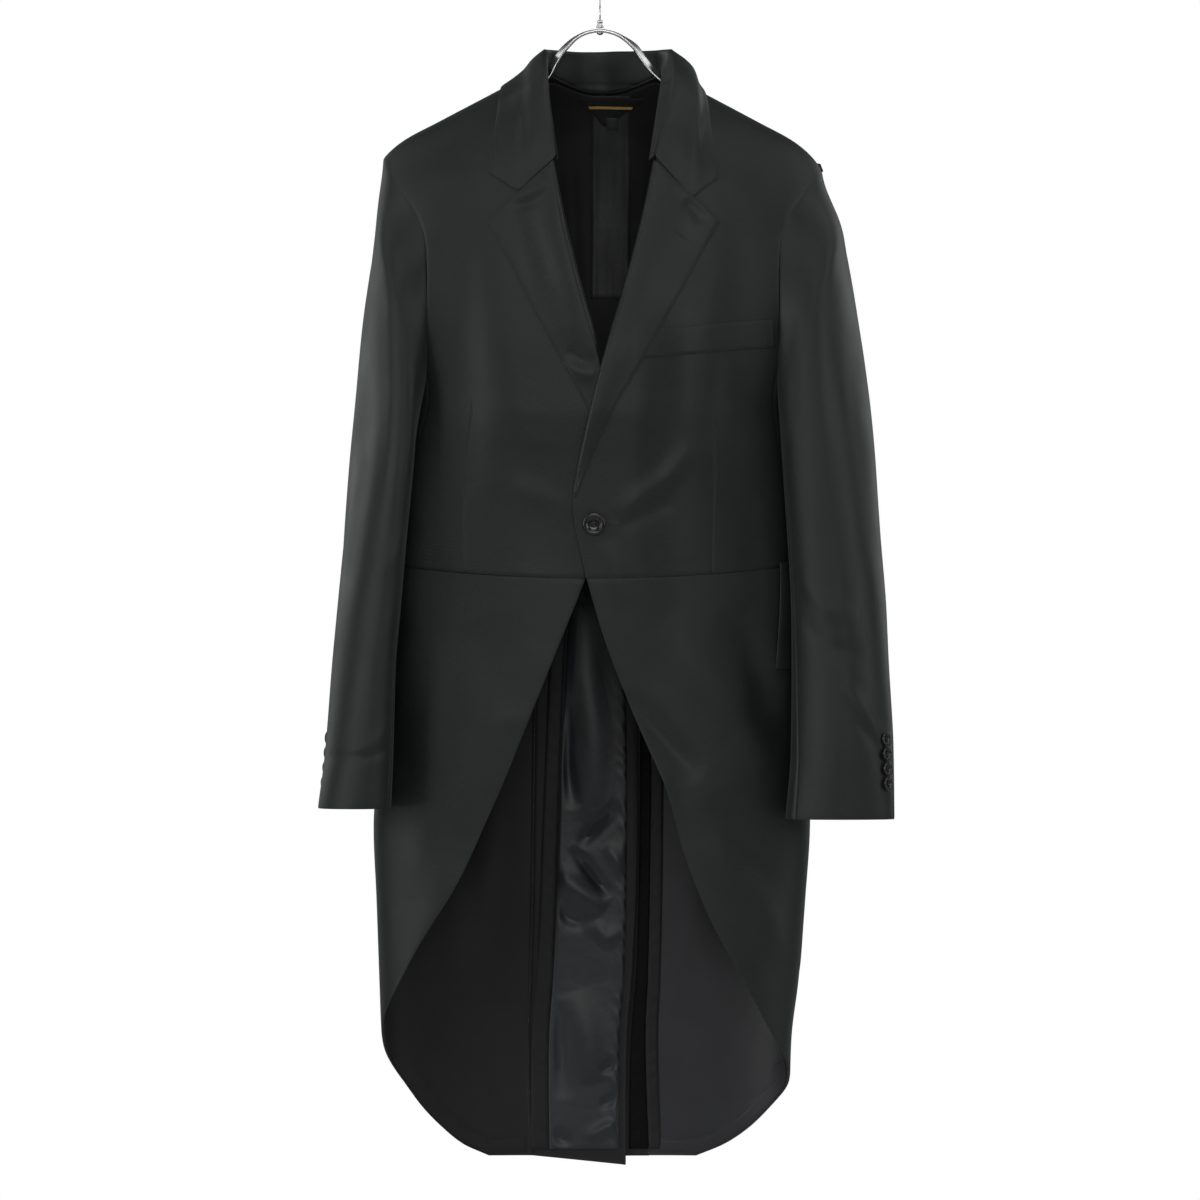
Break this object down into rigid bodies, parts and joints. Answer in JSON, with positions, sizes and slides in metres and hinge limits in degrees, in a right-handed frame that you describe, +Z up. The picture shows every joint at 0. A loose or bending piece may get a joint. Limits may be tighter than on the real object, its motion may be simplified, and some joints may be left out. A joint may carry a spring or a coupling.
{
  "type": "black morning coat on a chrome hanger",
  "caption": "Long tailored jacket with peaked lapels, one-button closed front, cut-away rounded tails and a back vent, hanging on a slim chrome hanger.",
  "frame": {"origin": "inner top of the hanger's hook, where a rail or peg holds it", "axes": "+Z up, +X towards the wearer's left, -Y towards the front of the coat"},
  "size_m": [0.5311, 0.1866, 1.1044],
  "materials": {
    "cloth": "black wool-blend satin twill with a soft broad sheen",
    "lining": "glossy bluish-black satin lining",
    "button": "polished black",
    "hanger_metal": "bright plated"
  },
  "bodies": {
    "root": {"forepart_left": "cloth", "forepart_right": "cloth", "side_body_left": "cloth", "side_body_right": "cloth", "back_left": "cloth", "back_right": "cloth", "skirt_left": "cloth", "skirt_right": "cloth", "topsleeve_left": "cloth", "topsleeve_right": "cloth", "undersleeve_left": "cloth", "undersleeve_right": "cloth", "lapel_left": "cloth", "lapel_right": "cloth", "collar": "cloth", "breast_welt": "cloth", "hip_flap_left": "cloth", "hip_flap_right": "cloth", "back_lining": "lining", "lining_pleat": "lining", "neck_label": "lining", "size_tab": "lining", "tail_lining_left": "lining", "tail_lining_right": "lining", "gathered_strip_left": "lining", "gathered_strip_right": "lining", "hem_facing_left": "lining", "hem_facing_right": "lining", "front_button": "button", "cuff_button_left_1": "button", "cuff_button_left_2": "button", "cuff_button_left_3": "button", "cuff_button_left_4": "button", "cuff_button_right_1": "button", "cuff_button_right_2": "button", "cuff_button_right_3": "button", "cuff_button_right_4": "button", "hanger_hook": "hanger_metal", "hanger_socket": "hanger_metal", "hanger_arms": "hanger_metal", "hanger_rivet": "hanger_metal"}
  },
  "joints": []
}
